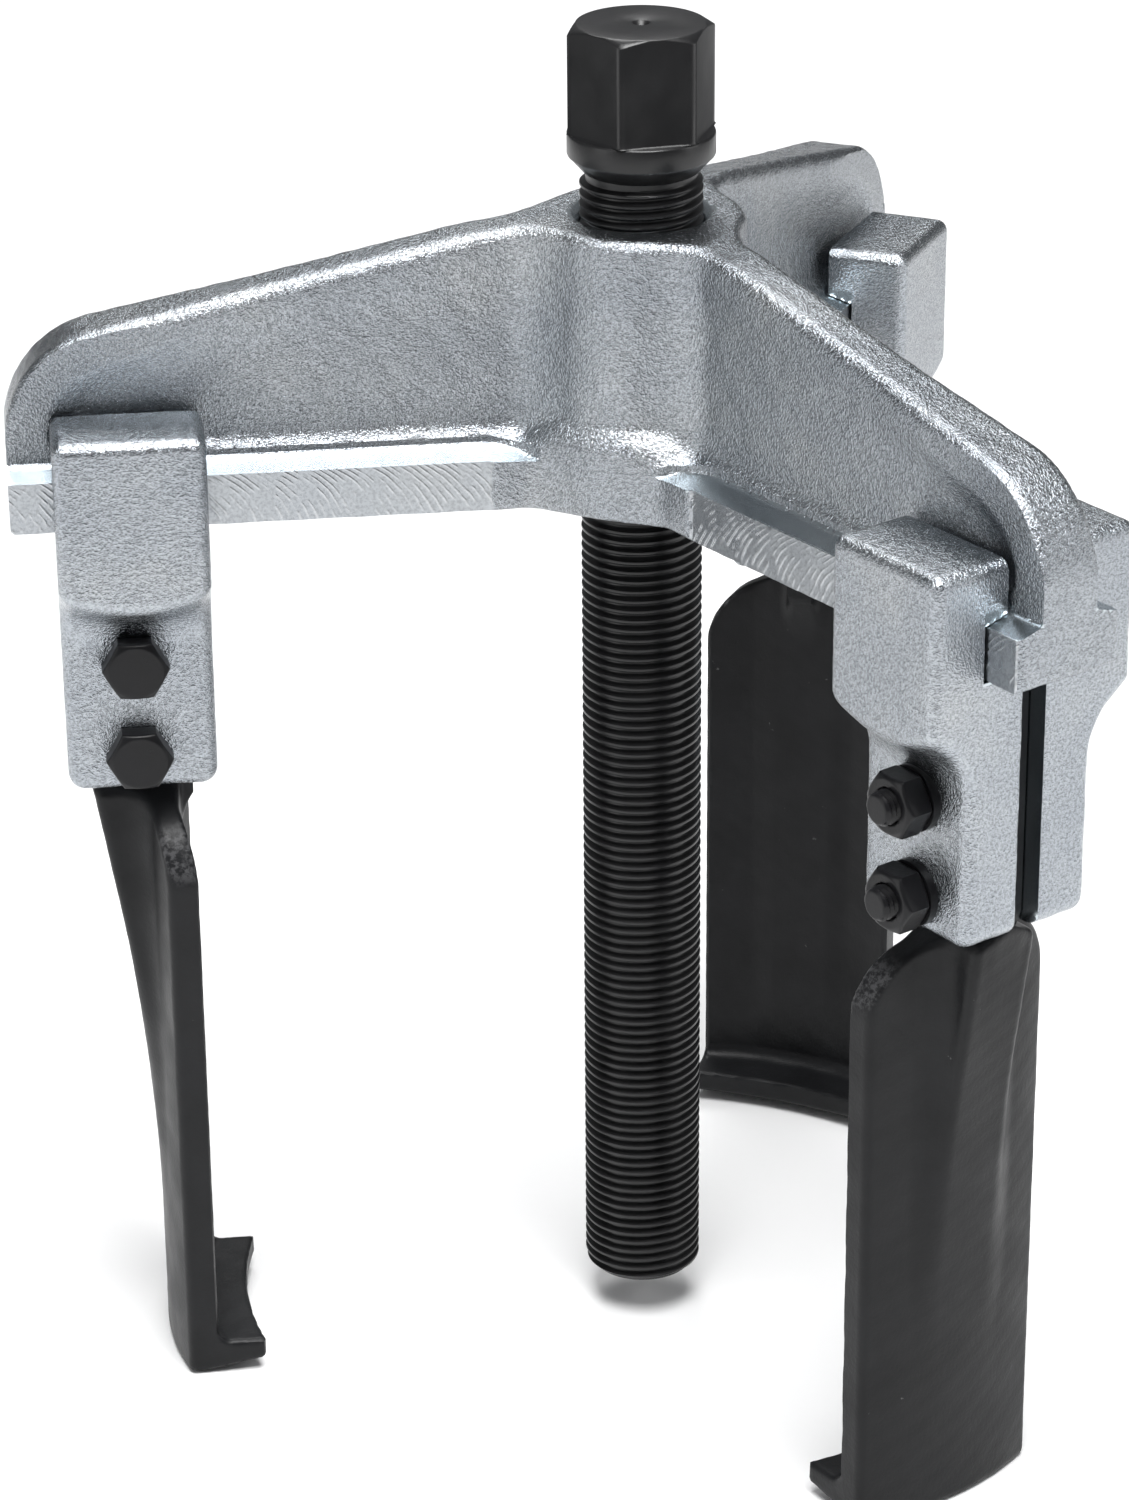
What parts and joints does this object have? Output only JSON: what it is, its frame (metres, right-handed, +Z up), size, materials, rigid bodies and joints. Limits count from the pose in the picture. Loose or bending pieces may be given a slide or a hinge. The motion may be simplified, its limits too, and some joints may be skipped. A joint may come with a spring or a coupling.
{
  "type": "gear puller",
  "caption": "Three-arm gear puller: forged crossbeam, threaded pressure spindle with a hexagon head, and sliding clamped legs with wide thin curved jaws.",
  "frame": {"origin": "on the spindle axis, level with the three jaw ledges (the centre of the grip)", "axes": "+Z up along the spindle towards its hexagon; the arms point at 60, 180 and 300 degrees about +Z, the left arm along -X"},
  "size_m": [0.1758, 0.1968, 0.242],
  "materials": {
    "zinc_forging": "bright zinc plating on a hammered forging, rail faces milled",
    "spindle_black": "black oxide, satin",
    "jaw_black": "black phosphate, satin",
    "fastener_black": "black oxide",
    "ball_steel": "hardened bearing ball"
  },
  "bodies": {
    "crossbeam": {"crossbeam": "zinc_forging"},
    "spindle_tip": {"pressure_ball": "ball_steel"},
    "spindle": {"spindle": "spindle_black"},
    "leg_left": {"jaw_left": "jaw_black", "shoe_left_bolt_side": "zinc_forging", "shoe_left_nut_side": "zinc_forging", "bolt_left_upper": "fastener_black", "washer_left_upper": "fastener_black", "nut_left_upper": "fastener_black", "bolt_left_lower": "fastener_black", "washer_left_lower": "fastener_black", "nut_left_lower": "fastener_black"},
    "leg_right": {"jaw_right": "jaw_black", "shoe_right_bolt_side": "zinc_forging", "shoe_right_nut_side": "zinc_forging", "bolt_right_upper": "fastener_black", "washer_right_upper": "fastener_black", "nut_right_upper": "fastener_black", "bolt_right_lower": "fastener_black", "washer_right_lower": "fastener_black", "nut_right_lower": "fastener_black"},
    "leg_back": {"jaw_back": "jaw_black", "shoe_back_bolt_side": "zinc_forging", "shoe_back_nut_side": "zinc_forging", "bolt_back_upper": "fastener_black", "washer_back_upper": "fastener_black", "nut_back_upper": "fastener_black", "bolt_back_lower": "fastener_black", "washer_back_lower": "fastener_black", "nut_back_lower": "fastener_black"}
  },
  "joints": [
    {"name": "spindle_feed", "type": "slide", "parent": "crossbeam", "child": "spindle_tip", "axis": [0, 0, 1], "range_m": [-0.00725, 0.11974]},
    {"name": "spindle_turn", "type": "hinge", "parent": "spindle_tip", "child": "spindle", "pos_m": [0, 0, 0], "axis": [0, 0, 1], "range_deg": [-1441, 23761]},
    {"name": "leg_left_slide", "type": "slide", "parent": "crossbeam", "child": "leg_left", "axis": [-1, 0, 0], "range_m": [-0.047, 0.0075]},
    {"name": "leg_right_slide", "type": "slide", "parent": "crossbeam", "child": "leg_right", "axis": [0.5, -0.866, 0], "range_m": [-0.047, 0.0075]},
    {"name": "leg_back_slide", "type": "slide", "parent": "crossbeam", "child": "leg_back", "axis": [0.5, 0.866, 0], "range_m": [-0.047, 0.0075]}
  ],
  "couplings": [
    {"joint": "spindle_turn", "follows": "spindle_feed", "rad_per_m": 3463.2}
  ]
}
